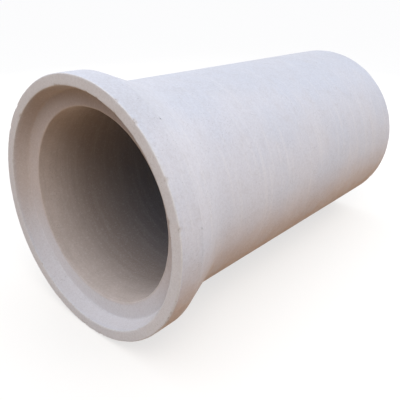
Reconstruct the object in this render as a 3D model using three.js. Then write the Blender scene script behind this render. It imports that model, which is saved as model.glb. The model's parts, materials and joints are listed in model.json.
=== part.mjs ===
// Reinforced concrete sewer pipe with a bell (socket) at one end and a plain spigot at the other, cast in one piece.
// Millimetres, +Z up. The pipe lies on level ground with its bell towards -X and its spigot towards +X.
// The origin is on the ground, under the centre of the pipe's bounding box.

import * as THREE from "three";

// Barrel
const BORE_DIAMETER = 1100;
const WALL = 88;
const LAYING_LENGTH = 2430; // from the shoulder inside the bell to the end of the spigot

// Bell, measured from its open face
const SOCKET_DEPTH = 98; // face to the shoulder, at the edge of the bore
const SHOULDER_SLOPE_DEPTH = 7; // how much nearer to the face the shoulder starts, at the socket's wall
const MOUTH_DIAMETER = 1334;
const SOCKET_END_DIAMETER = 1290;
const BELL_DIAMETER = 1462;
const BELL_LENGTH = 144; // the straight outside of the bell, from the face to the start of the haunch
const HAUNCH_LENGTH = 248; // the cone from the bell down to the barrel

// Edges
const FACE_EDGE_RADIUS = 8; // both edges of the bell's face
const BORE_EDGE_RADIUS = 8; // the edge where the shoulder meets the bore
const SOCKET_FILLET_RADIUS = 12; // the hollow corner where the socket's wall meets the shoulder
const BELL_CORNER_RADIUS = 18; // the outside corner where the bell turns into the haunch
const HAUNCH_BLEND_RADIUS = 300; // the soft hollow where the haunch meets the barrel
const SPIGOT_EDGE_RADIUS = 7; // both edges of the spigot's end

// Smoothness
const SIDES = 96; // flats around the pipe; an even number, so that a flat and not an edge lies underneath
const ARC_STEP = THREE.MathUtils.degToRad(24); // largest turn between two points of a rounded edge
const LEAST_ARC_STEPS = 2;
const TILT_PASSES = 4; // each pass brings the resting tilt far closer, and after four it no longer moves

const TOTAL_LENGTH = SOCKET_DEPTH + LAYING_LENGTH;

/** A corner of the wall's section: distance from the pipe's axis, depth behind the bell's face, and rounding. */
function corner(radius, depth, rounding) {
  return { at: new THREE.Vector2(radius, depth), rounding };
}

/** The wall's section as sharp corners, in order around the concrete. */
function wallCorners() {
  const boreRadius = BORE_DIAMETER / 2;
  const barrelRadius = boreRadius + WALL;
  const bellRadius = BELL_DIAMETER / 2;
  return [
    corner(bellRadius, 0, FACE_EDGE_RADIUS),
    corner(bellRadius, BELL_LENGTH, BELL_CORNER_RADIUS),
    corner(barrelRadius, BELL_LENGTH + HAUNCH_LENGTH, HAUNCH_BLEND_RADIUS),
    corner(barrelRadius, TOTAL_LENGTH, SPIGOT_EDGE_RADIUS),
    corner(boreRadius, TOTAL_LENGTH, SPIGOT_EDGE_RADIUS),
    corner(boreRadius, SOCKET_DEPTH, BORE_EDGE_RADIUS),
    corner(SOCKET_END_DIAMETER / 2, SOCKET_DEPTH - SHOULDER_SLOPE_DEPTH, SOCKET_FILLET_RADIUS),
    corner(MOUTH_DIAMETER / 2, 0, FACE_EDGE_RADIUS),
  ];
}

/** The points of the arc that rounds one corner, tangent to the edges on both sides of it. */
function roundedCorner(before, { at, rounding }, after) {
  const toBefore = before.at.clone().sub(at).normalize();
  const toAfter = after.at.clone().sub(at).normalize();
  const halfAngle = Math.acos(toBefore.dot(toAfter)) / 2;
  const bisector = toBefore.clone().add(toAfter).normalize();
  const centre = at.clone().addScaledVector(bisector, rounding / Math.sin(halfAngle));
  const tangentLength = rounding / Math.tan(halfAngle);
  const start = at.clone().addScaledVector(toBefore, tangentLength).sub(centre);
  const end = at.clone().addScaledVector(toAfter, tangentLength).sub(centre);

  const turn = Math.atan2(start.cross(end), start.dot(end));
  const steps = Math.max(LEAST_ARC_STEPS, Math.ceil(Math.abs(turn) / ARC_STEP));
  const points = [];
  for (let i = 0; i <= steps; i++) {
    const spoke = start.clone().rotateAround(new THREE.Vector2(), (turn * i) / steps);
    points.push(spoke.add(centre));
  }
  return points;
}

/** The closed outline of the wall's section, with every edge rounded. */
function wallOutline() {
  const corners = wallCorners();
  const count = corners.length;
  const outline = corners.flatMap((item, i) =>
    roundedCorner(corners[(i + count - 1) % count], item, corners[(i + 1) % count]),
  );
  outline.push(outline[0].clone());
  return outline;
}

/** The wall turned around the pipe's axis, which then runs along +X from the bell's face. */
function pipeGeometry(outline) {
  const halfFlat = Math.PI / SIDES;
  const geometry = new THREE.LatheGeometry(outline, SIDES, halfFlat);
  geometry.rotateZ(-Math.PI / 2);
  return geometry;
}

/** How far the spigot dips when the pipe rests on the back of its bell and the end of its spigot. */
function restingTilt(outline) {
  const isBell = (point) => point.y < BELL_LENGTH + HAUNCH_LENGTH / 2;
  const bell = outline.filter(isBell);
  const spigot = outline.filter((point) => !isBell(point));
  const flatFactor = Math.cos(Math.PI / SIDES);
  const reach = (tilt) => (point) => point.x * flatFactor * Math.cos(tilt) + point.y * Math.sin(tilt);
  const lowest = (points, depth) => points.reduce((a, b) => (depth(b) > depth(a) ? b : a));

  let tilt = 0;
  for (let pass = 0; pass < TILT_PASSES; pass++) {
    const heel = lowest(bell, reach(tilt));
    const toe = lowest(spigot, reach(tilt));
    tilt = Math.atan2((heel.x - toe.x) * flatFactor, toe.y - heel.y);
  }
  return tilt;
}

const concrete = new THREE.MeshStandardMaterial({ color: 0xb9b5ad, roughness: 0.9, metalness: 0 });

const outline = wallOutline();
const pipe = new THREE.Mesh(pipeGeometry(outline), concrete);
pipe.name = "pipe";
pipe.rotation.y = restingTilt(outline);

const bounds = new THREE.Box3().setFromObject(pipe, true);
const middle = bounds.getCenter(new THREE.Vector3());
pipe.position.set(-middle.x, -middle.y, -bounds.min.z);

const sewerPipe = new THREE.Group();
sewerPipe.add(pipe);

export default sewerPipe;
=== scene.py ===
"""The looks of the concrete sewer pipe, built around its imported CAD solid. Metres, +Z up, bell towards -X.

One cast piece, concrete_pipe, stands for the CAD node "pipe". It has the solid's own section with finer
rounding, and on top of that what a cast surface shows: a mould that isn't quite round, seams, ripples in the
bore, worn and chipped edges and small air holes.
"""

import json
import math
from typing import NamedTuple

import bpy
import numpy as np
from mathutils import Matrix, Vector


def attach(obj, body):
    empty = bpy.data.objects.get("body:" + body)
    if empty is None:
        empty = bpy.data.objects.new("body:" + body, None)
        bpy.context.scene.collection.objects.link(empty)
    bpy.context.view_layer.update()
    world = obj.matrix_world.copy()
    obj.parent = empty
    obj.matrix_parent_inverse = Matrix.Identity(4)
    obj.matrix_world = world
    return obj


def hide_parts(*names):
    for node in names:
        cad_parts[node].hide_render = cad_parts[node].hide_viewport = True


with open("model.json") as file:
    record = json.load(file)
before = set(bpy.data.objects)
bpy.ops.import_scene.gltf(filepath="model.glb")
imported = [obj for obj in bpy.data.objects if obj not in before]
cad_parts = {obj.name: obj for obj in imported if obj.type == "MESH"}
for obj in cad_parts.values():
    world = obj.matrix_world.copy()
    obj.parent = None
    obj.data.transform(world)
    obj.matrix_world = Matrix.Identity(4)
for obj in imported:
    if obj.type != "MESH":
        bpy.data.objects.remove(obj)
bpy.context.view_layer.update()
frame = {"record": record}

SEED = 20926
MM = 0.001

# The section, from the same sizes as the CAD solid. Depths are measured from the bell's face.
BORE_RADIUS = 550 * MM
BARREL_RADIUS = 638 * MM
TOTAL_LENGTH = 2528 * MM
SOCKET_DEPTH = 98 * MM
SHOULDER_START = 91 * MM
MOUTH_RADIUS = 667 * MM
SOCKET_END_RADIUS = 645 * MM
BELL_RADIUS = 731 * MM
BELL_LENGTH = 144 * MM
HAUNCH_END = 392 * MM
FACE_ROUNDING = 8 * MM
BELL_CORNER_ROUNDING = 18 * MM
HAUNCH_BLEND = 300 * MM
SPIGOT_ROUNDING = 7 * MM
BORE_EDGE_ROUNDING = 8 * MM
SOCKET_FILLET = 12 * MM
CAD_SIDES = 96
FIT = math.cos(math.pi / CAD_SIDES)  # the share of the radius with which a round pipe lies inside the flats

# Fineness of the mesh
SIDES = 300  # columns around the pipe, and twice as many where the edges are worn
MAX_TURN = math.radians(11)  # largest turn between two points of a rounded edge
LEAST_ARC_STEPS = 4
EDGE_SUPPORT = 2.5 * MM  # how far from a rounded edge the first ring of a straight stretch lies
FINE_REACH = 50 * MM  # how far the denser columns run from a worn edge


# ---------------------------------------------------------------- section

class Corner(NamedTuple):
    """A sharp corner of the wall's section."""
    radius: float
    depth: float
    rounding: float
    surface: str  # what lies between this corner and the next
    step: float  # the longest distance between two rings there
    fine: bool  # whether the rings near this corner have the denser columns


CORNERS = (  # in order around the concrete
    Corner(BELL_RADIUS, 0.0, FACE_ROUNDING, "outside", 12 * MM, True),
    Corner(BELL_RADIUS, BELL_LENGTH, BELL_CORNER_ROUNDING, "outside", 16 * MM, False),
    Corner(BARREL_RADIUS, HAUNCH_END, HAUNCH_BLEND, "outside", 42 * MM, False),
    Corner(BARREL_RADIUS, TOTAL_LENGTH, SPIGOT_ROUNDING, "spigot_end", 9 * MM, True),
    Corner(BORE_RADIUS, TOTAL_LENGTH, SPIGOT_ROUNDING, "bore", 60 * MM, True),
    Corner(BORE_RADIUS, SOCKET_DEPTH, BORE_EDGE_ROUNDING, "shoulder", 9 * MM, False),
    Corner(SOCKET_END_RADIUS, SHOULDER_START, SOCKET_FILLET, "socket", 9 * MM, False),
    Corner(MOUTH_RADIUS, 0.0, FACE_ROUNDING, "face", 7 * MM, True),
)
FACE_RIM, SPIGOT_RIM, SPIGOT_LIP, MOUTH_LIP = 0, 3, 4, 7  # the corners whose edges wear and chip


def rounded(before, at, after, radius):
    """Points of the arc that rounds the corner at, tangent to the edges on both sides."""
    back, ahead = (before - at).normalized(), (after - at).normalized()
    half = back.angle(ahead) / 2
    centre = at + (back + ahead).normalized() * (radius / math.sin(half))
    reach = radius / math.tan(half)
    start, end = at + back * reach - centre, at + ahead * reach - centre
    turn = math.atan2(start.x * end.y - start.y * end.x, start.dot(end))
    steps = max(LEAST_ARC_STEPS, math.ceil(abs(turn) / MAX_TURN))
    points = []
    for i in range(steps + 1):
        a = turn * i / steps
        points.append(centre + Vector((start.x * math.cos(a) - start.y * math.sin(a),
                                       start.x * math.sin(a) + start.y * math.cos(a))))
    return points


def straight_steps(length, step):
    """Distances of the points along a straight stretch. One close to each end keeps its shading flat."""
    steps = max(1, math.ceil((length - 2 * EDGE_SUPPORT) / step))
    return [EDGE_SUPPORT + (length - 2 * EDGE_SUPPORT) * k / steps for k in range(steps + 1)]


def section():
    """The closed section: points (radius, depth), which of them are fine, and each corner's middle point."""
    count = len(CORNERS)
    ats = [Vector((corner.radius * FIT, corner.depth)) for corner in CORNERS]
    arcs = [rounded(ats[i - 1], ats[i], ats[(i + 1) % count], CORNERS[i].rounding) for i in range(count)]
    points, fine, marks = [], [], []
    for i, corner in enumerate(CORNERS):
        arc, following = arcs[i], arcs[(i + 1) % count]
        marks.append(len(points) + len(arc) // 2)
        points += arc
        fine += [corner.fine] * len(arc)
        start, end = arc[-1], following[0]
        length = (end - start).length
        for at in straight_steps(length, corner.step):
            points.append(start.lerp(end, at / length))
            fine.append((corner.fine and at < FINE_REACH)
                        or (CORNERS[(i + 1) % count].fine and length - at < FINE_REACH))
    return np.array([tuple(p) for p in points]), fine, marks


def surfaces(count, marks):
    """Which surface each of the section's points is on."""
    found = [CORNERS[-1].surface] * count
    for i, corner in enumerate(CORNERS[:-1]):
        for j in range(marks[i], marks[i + 1]):
            found[j] = corner.surface
    return found


def distances(points, marks):
    """Distance along the closed section from each corner's middle point to every section point."""
    steps = np.linalg.norm(np.roll(points, -1, axis=0) - points, axis=1)
    total = steps.sum()
    at = np.concatenate([[0], np.cumsum(steps)[:-1]])
    found = []
    for mark in marks:
        gap = np.abs(at - at[mark])
        found.append(np.minimum(gap, total - gap))
    return found


def outward(points):
    """The unit vector out of the concrete at each section point, as (radius, depth)."""
    ahead, behind = np.roll(points, -1, axis=0), np.roll(points, 1, axis=0)
    along = ahead - behind
    along /= np.linalg.norm(along, axis=1)[:, None]
    area = 0.5 * np.sum(points[:, 0] * ahead[:, 1] - ahead[:, 0] * points[:, 1])
    return np.stack([along[:, 1], -along[:, 0]], axis=1) * (1 if area > 0 else -1)


# ---------------------------------------------------------------- relief

rng = np.random.default_rng(SEED)

SEAM_ANGLE = math.radians(37)  # from the top of the pipe towards +Y
SEAMS = (SEAM_ANGLE, SEAM_ANGLE + math.pi)  # the mould's two joints lie opposite each other
SEAM_HALF_WIDTH = 3 * MM
SEAM_HEIGHT = 0.7 * MM
SEAM_COLUMNS = (-1, -0.5, 0, 0.5, 1)  # columns of its own across a seam, in half widths
SEAM_CLEARANCE = 2.2  # half widths to the nearest of the even columns

# How a surface swells and sinks, in millimetres: with the mould's shape, as a whole, and with soft hollows
SWELL = {"outside": (0.45, -1.0, 0.10), "bore": (0.9, 0.0, 0.35)}
SWELL_ELSEWHERE = (0.0, -0.4, 0.35)

WORN_CORNERS = (FACE_RIM, MOUTH_LIP, SPIGOT_RIM, SPIGOT_LIP)
WEAR_DEPTH = 0.9 * MM
WEAR_REACH = 7 * MM
MEAN_WEAR, WEAR_SWING, MOST_WEAR = 0.5, 0.6, 1.6  # shares of the wear's depth

CHIP_COUNTS = {FACE_RIM: 26, MOUTH_LIP: 16, SPIGOT_RIM: 16, SPIGOT_LIP: 9}
CHIP_HALF_WIDTH = (5, 17)  # millimetres: the smallest chip's, and what the largest has more
CHIP_REACH = (5, 9)
CHIP_DEPTH = (1.2, 3.2)
CHIP_SPREAD = 2.2  # the power that makes most chips small
MEAN_BREAK, BREAK_SWING = 0.8, 0.3  # shares of a chip's depth, because its surface is rough
BREAK_LIMITS = (0.2, 1.3)
BREAK_EDGE = 2.5  # how quickly the broken look sets in from a chip's edge


def wave_field(count, shortest, longest):
    """A smooth random field: a sum of seeded plane waves whose lengths lie between the two, in metres."""
    directions = rng.normal(size=(count, 3))
    directions /= np.linalg.norm(directions, axis=1)[:, None]
    lengths = np.exp(rng.uniform(math.log(shortest), math.log(longest), count))
    phases = rng.uniform(0, 2 * math.pi, count)
    numbers = directions * (2 * math.pi / lengths)[:, None]

    def field(points):
        return np.sin(points @ numbers.T + phases).sum(axis=1) / math.sqrt(count)

    return field


MOULD_WAVE = wave_field(14, 0.35, 1.3)  # the steel mould isn't quite round
CAST_WAVE = wave_field(24, 0.05, 0.16)  # soft hollows a hand's width across
WEAR_WAVE = wave_field(24, 0.03, 0.30)  # where an edge is more or less worn
CHIP_WAVE = wave_field(30, 0.012, 0.04)  # the broken surface of a chip


class Chip(NamedTuple):
    """A chip of one corner's edge, centred at an angle around the pipe."""
    corner: int
    angle: float
    half_width: float
    reach: float  # from the edge, across the surfaces on both sides of it
    depth: float


def chips():
    """All the chips, at random places, most of them small."""
    found = []
    for corner, count in CHIP_COUNTS.items():
        for _ in range(count):
            size = rng.uniform(0.0, 1.0) ** CHIP_SPREAD
            angle = rng.uniform(-math.pi, math.pi)
            half_width, reach, depth = ((least + more * size) * MM
                                        for least, more in (CHIP_HALF_WIDTH, CHIP_REACH, CHIP_DEPTH))
            found.append(Chip(corner, angle, half_width, reach, depth))
    return found


CHIPS = chips()


def wrapped(angle):
    """An angle brought to between -pi and pi."""
    return (angle + math.pi) % (2 * math.pi) - math.pi


def cast_rise(surface, angles, points):
    """How far one ring's points stand proud of the section as the pipe was cast, in metres."""
    with_mould, sunk, with_hollows = SWELL.get(surface, SWELL_ELSEWHERE)
    rise = (with_mould * MOULD_WAVE(points) + sunk + with_hollows * CAST_WAVE(points)) * MM
    if surface == "outside":
        for seam in SEAMS:
            off = np.abs(wrapped(angles - seam)) * BARREL_RADIUS
            rise += SEAM_HEIGHT * np.clip(1 - off / SEAM_HALF_WIDTH, 0, 1)
    return rise


def worn_away(rise, points, from_corner):
    """The rise less what wear has taken off the edges."""
    worn = np.clip(MEAN_WEAR + WEAR_SWING * WEAR_WAVE(points), 0, MOST_WEAR)
    for corner in WORN_CORNERS:
        rise = rise - WEAR_DEPTH * worn * math.exp(-((from_corner[corner] / WEAR_REACH) ** 2))
    return rise


def chipped(rise, radius, angles, points, from_corner):
    """The rise less the chips, and how much each point is broken, from 0 to 1."""
    broken = np.zeros(len(points))
    for chip in CHIPS:
        across = from_corner[chip.corner] / chip.reach
        along = wrapped(angles - chip.angle) * radius / chip.half_width
        inside = 1 - along**2 - across**2
        if (inside > 0).any():
            rough = np.clip(MEAN_BREAK + BREAK_SWING * CHIP_WAVE(points), *BREAK_LIMITS)
            rise = rise - chip.depth * np.sqrt(np.clip(inside, 0, 1)) * rough
            broken = np.maximum(broken, np.clip(BREAK_EDGE * inside, 0, 1))
    return rise, broken


# ---------------------------------------------------------------- mesh

AIR_HOLES = 260
HOLE_RADIUS = (1.4, 2.0, 3.4)  # least, most usual and largest, in millimetres
HOLE_SIDES = 8  # two for each corner of the hole's quad
HOLE_RINGS = ((1.0, 0.0), (0.86, 0.45), (0.5, 0.85))  # each ring's radius and depth, in hole radii
HOLE_UNEVENNESS = (0.88, 1.08)
WIDEST_HOLE = 0.8  # the largest radius, as a share of the quad's half width
HOLE_MARGIN = 1.15  # how far a hole's middle keeps from its quad's edges, in hole radii


def pipe_frame():
    """The middle of the bell's face, the pipe's axis and its own up, from the record's two flat faces."""
    mounts = {m["name"]: m for m in frame["record"]["mounts"]}
    bell, spigot = (Vector(mounts[n]["pos_m"]) * Vector((1, 0, 1)) for n in ("bell_face", "spigot_face"))
    axis = (spigot - bell).normalized()
    return bell, axis, axis.cross(Vector((0, 1, 0)))


def around():
    """Angles of the coarse columns, from the top towards +Y, with extra ones where the seams run."""
    angles = [2 * math.pi * k / SIDES for k in range(SIDES)]
    for seam in SEAMS:
        reach = SEAM_CLEARANCE * SEAM_HALF_WIDTH / BARREL_RADIUS
        angles = [a for a in angles if abs(a - seam) > reach]
        angles += [seam + k * SEAM_HALF_WIDTH / BARREL_RADIUS for k in SEAM_COLUMNS]
    return np.array(sorted(angles))


class Rings(NamedTuple):
    """The pipe's skin ring by ring, in its own frame: the axis along +X from the bell's face, and +Z up."""
    vertices: np.ndarray
    broken: np.ndarray  # how broken each vertex is, from 0 to 1
    starts: list  # each ring's first vertex
    fine: list  # whether each ring has the denser columns
    surface: list  # the surface that each ring is on
    columns: int  # on a coarse ring


def rings():
    """The section turned around the axis, with the relief on it."""
    points, fine, marks = section()
    surface = surfaces(len(points), marks)
    away = distances(points, marks)
    out = outward(points)
    coarse = around()
    following = np.append(coarse[1:], coarse[0] + 2 * math.pi)
    dense = np.stack([coarse, (coarse + following) / 2], axis=1).ravel()
    vertices, broken, starts = [], [], []
    for j, (radius, depth) in enumerate(points):
        angles = dense if fine[j] else coarse
        cos, sin = np.cos(angles), np.sin(angles)
        at = np.stack([np.full_like(cos, depth), radius * sin, radius * cos], axis=1)
        from_corner = [gaps[j] for gaps in away]
        rise = worn_away(cast_rise(surface[j], angles, at), at, from_corner)
        rise, marred = chipped(rise, radius, angles, at, from_corner)
        at[:, 0] += rise * out[j, 1]
        at[:, 1] += rise * out[j, 0] * sin
        at[:, 2] += rise * out[j, 0] * cos
        starts.append(sum(len(v) for v in vertices))
        vertices.append(at)
        broken.append(marred)
    return Rings(np.concatenate(vertices), np.concatenate(broken), starts, fine, surface, len(coarse))


def faces_between(j, skin):
    """The faces between ring j and the next: quads, or three triangles a column where just one is fine."""
    following = (j + 1) % len(skin.starts)
    a, b = skin.starts[j], skin.starts[following]
    found = []
    if skin.fine[j] == skin.fine[following]:
        n = skin.columns * (2 if skin.fine[j] else 1)
        for k in range(n):
            m = (k + 1) % n
            found.append((a + k, b + k, b + m, a + m))
        return found
    n = 2 * skin.columns
    for k in range(skin.columns):
        m, first, middle, last = (k + 1) % skin.columns, 2 * k, 2 * k + 1, (2 * k + 2) % n
        if skin.fine[following]:
            found.append((a + k, b + first, b + middle))
            found.append((a + k, b + middle, a + m))
            found.append((a + m, b + middle, b + last))
        else:
            found.append((a + first, b + k, a + middle))
            found.append((a + middle, b + k, b + m))
            found.append((a + middle, b + m, a + last))
    return found


def skin_faces(skin):
    """All the faces, and the numbers of the plain quads that an air hole can go into."""
    faces, plain = [], []
    for j in range(len(skin.starts)):
        made = faces_between(j, skin)
        coarse = not skin.fine[j] and not skin.fine[(j + 1) % len(skin.starts)]
        if coarse and skin.surface[j] in ("outside", "bore"):
            plain += range(len(faces), len(faces) + len(made))
        faces += made
    return faces, plain


def hole_faces(quad, base):
    """The faces of an air hole in a quad, and its rim's edges. Its vertices start at base, at the rim."""
    n = HOLE_SIDES
    ordered = quad[2:] + quad[:2]  # the corners in the quadrants of 45, 135, 225 and 315 degrees
    found, edges = [], []
    for q in range(4):
        here, there = ordered[q], ordered[(q + 1) % 4]
        first, second, third = (base + (2 * q + k) % n for k in range(3))
        found.append((here, second, first))
        found.append((here, there, third, second))
    for k in range(n):
        m = (k + 1) % n
        edges.append((base + k, base + m))
        for ring in range(len(HOLE_RINGS) - 1):
            outer, inner = base + ring * n, base + (ring + 1) * n
            found.append((outer + k, outer + m, inner + m, inner + k))
        last = base + (len(HOLE_RINGS) - 1) * n
        found.append((last + k, last + m, last + n))
    return found, edges


def hole_vertices(corners):
    """The vertices of an air hole at a random place in the quad with these corners, the deepest one last."""
    middle = sum(corners, Vector()) / 4
    across = (corners[3] + corners[2] - corners[0] - corners[1]) / 2
    along = (corners[1] + corners[2] - corners[0] - corners[3]) / 2
    half_width, half_length = across.length / 2, along.length / 2
    across.normalize()
    along.normalize()
    normal = along.cross(across)
    radius = min(rng.triangular(*HOLE_RADIUS) * MM, WIDEST_HOLE * half_width)
    middle += across * rng.uniform(-1, 1) * max(0.0, half_width - HOLE_MARGIN * radius)
    middle += along * rng.uniform(-1, 1) * max(0.0, half_length - HOLE_MARGIN * radius)
    found = []
    for share, sunk in HOLE_RINGS:
        for k in range(HOLE_SIDES):
            a = math.radians((k + 0.5) * 360 / HOLE_SIDES)
            r = radius * share * rng.uniform(*HOLE_UNEVENNESS)
            found.append(middle + (across * math.sin(a) + along * math.cos(a)) * r - normal * radius * sunk)
    found.append(middle - normal * radius)
    return found


def add_air_holes(faces, plain, vertices):
    """Puts the air holes into some of the plain quads. Returns the new vertices and the holes' rim edges."""
    added, rims = [], []
    for i in rng.choice(plain, AIR_HOLES, replace=False):
        made, edges = hole_faces(faces[i], len(vertices) + len(added))
        added += hole_vertices([Vector(vertices[v]) for v in faces[i]])
        faces[i] = None
        faces += made
        rims += edges
    return np.array([tuple(p) for p in added]), rims


def sharpen(mesh, pairs):
    """Marks the edges between these pairs of vertices as sharp."""
    ends = np.zeros(len(mesh.edges) * 2, int)
    mesh.edges.foreach_get("vertices", ends)
    key = np.array([len(mesh.vertices), 1])
    edge_keys = np.sort(ends.reshape(-1, 2), axis=1) @ key
    pair_keys = np.sort(np.array(pairs), axis=1) @ key
    sharp = mesh.attributes.new("sharp_edge", "BOOLEAN", "EDGE")
    sharp.data.foreach_set("value", np.isin(edge_keys, pair_keys))


def pipe_mesh():
    """The cast piece in the row frame, one closed skin, with the attribute broken for its material."""
    skin = rings()
    faces, plain = skin_faces(skin)
    added, rims = add_air_holes(faces, plain, skin.vertices)
    origin, axis, up = pipe_frame()
    turn = np.array([axis, (0, 1, 0), up])
    vertices = np.concatenate([skin.vertices, added]) @ turn + np.array(origin)

    mesh = bpy.data.meshes.new("concrete_pipe")
    mesh.from_pydata(vertices.tolist(), [], [f for f in faces if f])
    mesh.polygons.foreach_set("use_smooth", np.ones(len(mesh.polygons), bool))
    sharpen(mesh, rims)
    broken = np.concatenate([skin.broken, np.zeros(len(added))])
    mesh.attributes.new("broken", "FLOAT", "POINT").data.foreach_set("value", broken)
    mesh.validate()
    return mesh


# ---------------------------------------------------------------- shader helpers

def linear(red, green, blue):
    """An sRGB colour of 0 to 255 as the linear colour that a socket takes."""
    return tuple((v / 255 / 12.92) if v <= 10 else ((v / 255 + 0.055) / 1.055) ** 2.4
                 for v in (red, green, blue)) + (1.0,)


class Shader:
    """A node tree with short calls: each returns the output socket, and takes sockets or plain values."""

    def __init__(self, tree):
        self.tree = tree
        tree.nodes.clear()

    def put(self, socket, value):
        """Links the value to the socket if it is one itself, and otherwise sets it there."""
        if isinstance(value, bpy.types.NodeSocket):
            self.tree.links.new(value, socket)
        else:
            socket.default_value = value

    def node(self, kind, inputs=None, output=0, **settings):
        """A new node of any kind, by its inputs and settings."""
        made = self.tree.nodes.new(kind)
        for key, value in settings.items():
            setattr(made, key, value)
        for key, value in (inputs or {}).items():
            self.put(made.inputs[key], value)
        return made.outputs[output] if len(made.outputs) else None

    def math(self, operation, a, b=0.0, c=0.0):
        """Arithmetic on up to three numbers."""
        return self.node("ShaderNodeMath", {0: a, 1: b, 2: c}, operation=operation)

    def both(self, a, b):
        """The product: a mask where both masks are, or a mask weakened by a share."""
        return self.math("MULTIPLY", a, b)

    def either(self, a, b):
        """A mask where at least one of the two is."""
        return self.math("MAXIMUM", a, b)

    def stretch(self, vector, x, y, z):
        """The vector scaled by x, y and z."""
        return self.node("ShaderNodeVectorMath", {0: vector, 1: (x, y, z)}, operation="MULTIPLY")

    def noise(self, vector, scale=1.0, detail=2.0, roughness=0.5):
        """Soft noise, mostly between 0.3 and 0.7, with about scale lumps a metre."""
        return self.node("ShaderNodeTexNoise",
                         {"Vector": vector, "Scale": scale, "Detail": detail, "Roughness": roughness})

    def cells(self, vector, scale):
        """The distance to the nearest of scattered points, as a share of their spacing, 1 / scale metres."""
        return self.node("ShaderNodeTexVoronoi", {"Vector": vector, "Scale": scale}, output="Distance")

    def ramp(self, value, start, full, low=0.0, high=1.0):
        """The value brought from start..full to low..high with soft ends. The start may lie above full."""
        return self.node("ShaderNodeMapRange", {0: value, 1: start, 2: full, 3: low, 4: high},
                         interpolation_type="SMOOTHSTEP")

    def mix(self, factor, a, b):
        """The colour a at factor 0, and b at 1."""
        made = self.tree.nodes.new("ShaderNodeMix")
        made.data_type = "RGBA"
        for key, value in ((0, factor), (6, a), (7, b)):
            self.put(made.inputs[key], value)
        return made.outputs[2]

    def tint(self, colour, other, value, start, full, most=1.0):
        """The colour, with other laid over it as the value goes from start to full, up to the share most."""
        return self.mix(self.ramp(value, start, full, 0.0, most), colour, other)


# ---------------------------------------------------------------- concrete

PALE = linear(213, 214, 217)
PALE_COOL = linear(208, 212, 218)
PALE_DEEP = linear(199, 197, 196)
LAITANCE = linear(226, 226, 225)
SAND = linear(160, 150, 136)
PORE = linear(96, 92, 88)
# painted shade: the recess darker and browner at its top, and paler at its bottom where the sky lights it
SOCKET_TOP_SHADE = linear(192, 182, 175)
SOCKET_MIDDLE = linear(210, 200, 191)
SOCKET_LOW_LIT = linear(221, 219, 218)
FACE = linear(223, 222, 218)
BORE_NEAR = linear(211, 200, 190)
# painted shade: the bore darker and cooler with depth
BORE_MIDDLE_SHADE = linear(168, 156, 147)
BORE_DEEP_SHADE = linear(137, 136, 141)
# ground dust, with the warm light that the ground bounces onto the underside painted in
DUST_AND_BOUNCE = linear(200, 170, 142)
CROWN = linear(198, 199, 201)
MORTAR = linear(200, 195, 188)
STONE = linear(170, 164, 157)

# The share of each of these colours that is laid over what is under it
FACE_COVER = 0.75
RECESS_COVER = 0.85
DUST_AND_BOUNCE_COVER = 0.7
CROWN_COVER = 0.6
PORE_COVER = 0.6
BROKEN_COVER = 0.7

DUST_AND_BOUNCE_HEIGHTS = (0.08, -0.40)  # from the axis up: where the dust and painted ground bounce start, and where they are thickest
CROWN_HEIGHTS = (0.48, 0.66)

# Lumps of the patterns to the metre. The drawn-out ones have theirs along the axis, across it and upwards.
CLOUDS = 2.1
BLOTCHES = 11
BANDS = (34, 2.2, 2.2)
SPECKLE = 75
GRAIN = 420
SAND_GRAINS = 260
PORES = 85
PORE_PATCHES = 6
STONES = 120
LUMPS = 32
FINE_LUMPS = 120
TROWEL_MARKS = (1, 9, 9)
SPIN_RIPPLES = (70, 5, 5)

# Where the wall's masks change sides, deep inside the wall or on the spigot's end
WALL_MIDDLE = 605 * MM  # between the bore and the outside
BELL_WALL_MIDDLE = 695 * MM  # between the socket and the outside
BLUR = 5 * MM

BUMP_STRENGTH = 0.8
BUMP_DISTANCE = 0.8 * MM
SPECULAR_LEVEL = 0.28
DIFFUSE_ROUGHNESS = 0.6


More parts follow.
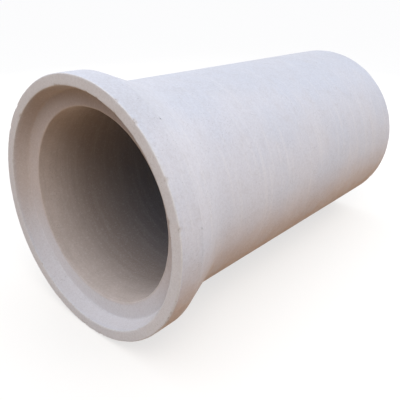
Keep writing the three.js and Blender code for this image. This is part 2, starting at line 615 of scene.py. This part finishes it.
class Concrete(Shader):
    """The tree of the concrete, with the pipe's own coordinates, its surfaces as masks, and the patterns."""

    def __init__(self, tree):
        super().__init__(tree)
        self.find_place()
        self.find_surfaces()
        self.find_patterns()

    def find_place(self):
        """The place in the pipe's own frame, its depth behind the face, and its height and radius."""
        origin, axis, _ = pipe_frame()
        tilt = math.atan2(-axis.z, axis.x)
        place = self.node("ShaderNodeTexCoord", output="Object")
        self.place = self.node("ShaderNodeMapping",
                               {"Vector": place, "Location": origin, "Rotation": (0, tilt, 0)},
                               vector_type="TEXTURE")
        parts = self.node("ShaderNodeSeparateXYZ", {0: self.place}).node
        self.depth, self.up = parts.outputs[0], parts.outputs[2]
        self.radius = self.node("ShaderNodeVectorMath", {0: self.stretch(self.place, 0, 1, 1)},
                                output="Value", operation="LENGTH")

    def find_surfaces(self):
        """Masks of the bore, the bell's face, the recess inside the bell, and the outside."""
        self.in_bore = self.both(self.ramp(self.radius, BORE_RADIUS + 18 * MM, BORE_RADIUS + 2 * MM),
                                 self.ramp(self.depth, SOCKET_DEPTH - 13 * MM, SOCKET_DEPTH + 10 * MM))
        self.on_face = self.ramp(self.depth, 9 * MM, 4 * MM)
        self.in_recess = self.both(self.ramp(self.radius, MOUTH_RADIUS + 5 * MM, MOUTH_RADIUS - 7 * MM),
                                   self.ramp(self.depth, SOCKET_DEPTH + 22 * MM, SOCKET_DEPTH + 2 * MM))
        outer_wall = self.ramp(self.radius, WALL_MIDDLE - BLUR, WALL_MIDDLE + BLUR)
        outer_bell_wall = self.ramp(self.radius, BELL_WALL_MIDDLE - BLUR, BELL_WALL_MIDDLE + BLUR)
        behind_socket = self.ramp(self.depth, SOCKET_DEPTH + 7 * MM, SOCKET_DEPTH + 32 * MM)
        behind_face = self.ramp(self.depth, 3 * MM, 20 * MM)
        clear_of_socket = self.both(self.either(outer_bell_wall, behind_socket), outer_wall)
        self.outside = self.both(clear_of_socket, behind_face)

    def find_patterns(self):
        """The patterns that the colour and the relief share, and how broken the surface is."""
        self.blotches = self.noise(self.place, BLOTCHES, detail=4, roughness=0.6)
        self.bands = self.noise(self.stretch(self.place, *BANDS), detail=3, roughness=0.6)
        self.grain = self.noise(self.place, GRAIN, detail=2, roughness=0.6)
        patches = self.ramp(self.noise(self.place, PORE_PATCHES), 0.48, 0.6)
        self.pores = self.both(self.ramp(self.cells(self.place, PORES), 0.16, 0.10), patches)
        self.stones = self.ramp(self.cells(self.place, STONES), 0.42, 0.30)
        self.broken = self.node("ShaderNodeAttribute", output="Fac", attribute_name="broken")

    def skin(self):
        """The pale skin: soft clouds, darker blotches, and bands of cement around the pipe."""
        clouds = self.noise(self.place, CLOUDS, detail=3, roughness=0.55)
        colour = self.tint(PALE_COOL, PALE, clouds, start=0.35, full=0.65)
        colour = self.tint(colour, PALE_DEEP, self.blotches, start=0.5, full=0.78, most=0.35)
        return self.tint(colour, LAITANCE, self.bands, start=0.50, full=0.72, most=0.36)

    def recess(self):
        """The socket and the shoulder, which get warmer and darker upwards: painted shade and warm ground
        bounce at the top, painted sky light at the bottom.
        """
        colour = self.tint(SOCKET_LOW_LIT, SOCKET_MIDDLE, self.up, start=-0.45, full=0.0)
        return self.tint(colour, SOCKET_TOP_SHADE, self.up, start=0.0, full=0.50)

    def bore(self):
        """The bore: painted shade that makes it darker and cooler with depth, fading to pale again near the
        spigot, and faint bands.
        """
        colour = self.tint(BORE_NEAR, BORE_MIDDLE_SHADE, self.depth, start=0.05, full=0.50)
        colour = self.tint(colour, BORE_DEEP_SHADE, self.depth, start=0.40, full=1.00)
        colour = self.tint(colour, BORE_NEAR, self.depth, start=1.65, full=2.50)
        colour = self.tint(colour, SAND, self.blotches, start=0.35, full=0.7, most=0.15)
        colour = self.tint(colour, LAITANCE, self.bands, start=0.50, full=0.72, most=0.09)
        return self.tint(colour, PORE, self.bands, start=0.50, full=0.28, most=0.09)

    def weathered_and_bounce_lit(self, colour):
        """The colour, with ground dust and painted warm light bounced from the ground on the lower part of
        the outside, and a greyer crown on its top.
        """
        dust_and_bounce = self.both(self.ramp(self.up, *DUST_AND_BOUNCE_HEIGHTS, high=DUST_AND_BOUNCE_COVER),
                         self.ramp(self.blotches, 0.3, 0.6, low=0.75))
        crown = self.both(self.ramp(self.up, *CROWN_HEIGHTS, high=CROWN_COVER),
                          self.ramp(self.blotches, 0.3, 0.6, low=0.7))
        colour = self.mix(self.both(dust_and_bounce, self.outside), colour, DUST_AND_BOUNCE)
        return self.mix(self.both(crown, self.outside), colour, CROWN)

    def speckled(self, colour):
        """The colour, with a fine speckle, grains of sand and pores."""
        speckle = self.noise(self.place, SPECKLE, detail=4, roughness=0.75)
        sand = self.cells(self.place, SAND_GRAINS)
        colour = self.tint(colour, SAND, speckle, start=0.55, full=0.38, most=0.12)
        colour = self.tint(colour, LAITANCE, speckle, start=0.52, full=0.68, most=0.25)
        colour = self.tint(colour, SAND, sand, start=0.22, full=0.08, most=0.22)
        colour = self.tint(colour, PORE, self.grain, start=0.65, full=0.35, most=0.10)
        return self.mix(self.both(self.pores, PORE_COVER), colour, PORE)

    def colour(self):
        """Each surface's colour, with painted shade in the recess and deep in the bore, then what lies on
        all of them, and last the inside that chips show.
        """
        colour = self.skin()
        colour = self.mix(self.both(self.on_face, FACE_COVER), colour, FACE)
        colour = self.mix(self.both(self.in_recess, RECESS_COVER), colour, self.recess())
        colour = self.mix(self.in_bore, colour, self.bore())
        colour = self.speckled(self.weathered_and_bounce_lit(colour))
        inside = self.mix(self.stones, MORTAR, STONE)
        return self.mix(self.both(self.broken, BROKEN_COVER), colour, inside)

    def normal(self):
        """The relief too fine for the mesh, as a sum of patterns with their heights."""
        trowel = self.noise(self.stretch(self.place, *TROWEL_MARKS), detail=4, roughness=0.6)
        ripples = self.noise(self.stretch(self.place, *SPIN_RIPPLES), detail=3, roughness=0.55)
        heights = (
            (self.grain, 0.30),
            (self.noise(self.place, FINE_LUMPS, detail=3, roughness=0.6), 0.8),
            (self.noise(self.place, LUMPS, detail=3, roughness=0.55), 1.2),
            (self.pores, -1.2),
            (self.both(self.stones, self.broken), 1.5),
            (self.both(trowel, self.on_face), 2.0),
            (self.both(ripples, self.in_bore), 1.6),
        )
        level = 0.0
        for pattern, height in heights:
            level = self.math("MULTIPLY_ADD", pattern, height, level)
        return self.node("ShaderNodeBump",
                         {"Strength": BUMP_STRENGTH, "Distance": BUMP_DISTANCE, "Height": level})


def concrete():
    """Smooth cast concrete, with mottling, sand grain and pores, a trowelled face and a spun bore with
    painted shade that darkens it with depth.
    """
    material = bpy.data.materials.new("concrete")
    material.use_nodes = True
    s = Concrete(material.node_tree)
    shader = s.node("ShaderNodeBsdfPrincipled", {
        "Base Color": s.colour(),
        "Roughness": s.ramp(s.blotches, 0.3, 0.7, low=0.80, high=0.93),
        "Normal": s.normal(),
        "Specular IOR Level": SPECULAR_LEVEL,
        "Diffuse Roughness": DIFFUSE_ROUGHNESS,
    })
    s.node("ShaderNodeOutputMaterial", {"Surface": shader})
    return material


def concrete_pipe():
    """The cast pipe, in place of the CAD node."""
    pipe = bpy.data.objects.new("concrete_pipe", pipe_mesh())
    bpy.context.scene.collection.objects.link(pipe)
    pipe.data.materials.append(concrete())
    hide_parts("pipe")
    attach(pipe, "root")


# ---------------------------------------------------------------- floor, light, camera

FLOOR_SIZE = 160
FLOOR_SEEN = (1.0, 0.96, 0.85, 1)  # neutral under the bluish sky
FLOOR_BOUNCE = (0.45, 0.28, 0.15, 1)  # its colour for the light that it sends back onto the pipe
FLOOR_LIFT = 0.66  # the share of plain white in what the camera sees of it
BACKDROP = (0.973, 0.973, 0.975, 1)  # what the floor comes to far away, so that no horizon shows
WHITE = (1, 1, 1, 1)

ZENITH = (1.55, 1.62, 1.88, 1)
HORIZON = (0.02, 0.02, 0.02, 1)
SKY_FALL = 1.42  # how steeply the light drops from the zenith down

LAMP_TARGET = Vector((0, 0, 0.7))  # the middle of the pipe

CAMERA_AT = (-2.598, -1.976, 1.951)
CAMERA_HEADING = 42.64  # degrees from +X towards +Y
CAMERA_DIP = 23.99  # degrees below the horizon
CAMERA_LENS = 44.62
CAMERA_SENSOR = 36
CAMERA_SHIFT = (0.0395, -0.0455)  # puts the pipe where the photograph's frame has it


def seen(s):
    """1 for what the camera, a mirror or glass sees, 0 for the light that falls on the object."""
    path = s.node("ShaderNodeLightPath").node
    glassy = s.either(path.outputs["Is Glossy Ray"], path.outputs["Is Transmission Ray"])
    return s.either(path.outputs["Is Camera Ray"], glassy)


def floor():
    """A pale floor that keeps the shadow. What it sends back onto the pipe has the warmth of bare ground."""
    bpy.ops.mesh.primitive_plane_add(size=FLOOR_SIZE)
    plane = bpy.context.object
    plane.name = "floor"
    material = bpy.data.materials.new("floor")
    material.use_nodes = True
    s = Shader(material.node_tree)
    view = seen(s)
    base = s.node("ShaderNodeBsdfDiffuse", {"Color": s.mix(view, FLOOR_BOUNCE, FLOOR_SEEN)})
    white = s.node("ShaderNodeEmission", {"Color": WHITE, "Strength": 1.0})
    shown = s.node("ShaderNodeMixShader", {0: s.both(view, FLOOR_LIFT), 1: base, 2: white})
    s.node("ShaderNodeOutputMaterial", {"Surface": shown})
    plane.data.materials.append(material)


def sky():
    """An even soft light that is strongest from above, and white where the camera sees it."""
    world = bpy.data.worlds.new("soft_sky")
    bpy.context.scene.world = world
    world.use_nodes = True
    s = Shader(world.node_tree)
    way = s.node("ShaderNodeTexCoord", output="Generated")
    up = s.node("ShaderNodeSeparateXYZ", {0: way}, output=2)
    light = s.mix(s.math("POWER", s.either(up, 0.0), SKY_FALL), HORIZON, ZENITH)
    shown = s.mix(seen(s), light, BACKDROP)
    back = s.node("ShaderNodeBackground", {"Color": shown, "Strength": 1.0})
    s.node("ShaderNodeOutputWorld", {"Surface": back})


def softbox(name, location, size, power, colour):
    """A square area lamp aimed at the middle of the pipe."""
    light = bpy.data.lights.new(name, "AREA")
    light.shape = "SQUARE"
    light.size = size
    light.energy = power
    light.color = colour
    lamp = bpy.data.objects.new(name, light)
    lamp.location = location
    lamp.rotation_euler = (LAMP_TARGET - Vector(location)).to_track_quat("-Z", "Y").to_euler()
    bpy.context.scene.collection.objects.link(lamp)


def camera():
    """The camera at the photograph's viewing angle."""
    lens = bpy.data.cameras.new("camera")
    lens.sensor_width = CAMERA_SENSOR
    lens.lens = CAMERA_LENS
    lens.shift_x, lens.shift_y = CAMERA_SHIFT
    eye = bpy.data.objects.new("camera", lens)
    eye.location = CAMERA_AT
    eye.rotation_euler = (math.radians(90 - CAMERA_DIP), 0, math.radians(CAMERA_HEADING - 90))
    bpy.context.scene.collection.objects.link(eye)
    bpy.context.scene.camera = eye


concrete_pipe()
floor()
sky()
softbox("softbox_top", (-3.0, -3.0, 5.3), size=2.6, power=108, colour=(1.0, 0.93, 0.90))
softbox("softbox_side", (2.0, -5.2, 3.0), size=3.0, power=50, colour=(0.84, 0.92, 1.0))
softbox("softbox_back", (1.5, 5.6, 3.4), size=3.0, power=60, colour=(0.97, 0.98, 1.0))
softbox("softbox_end", (6.0, -0.6, 2.6), size=3.0, power=60, colour=(1.0, 0.97, 0.95))
camera()
bpy.context.scene.view_settings.view_transform = "Standard"
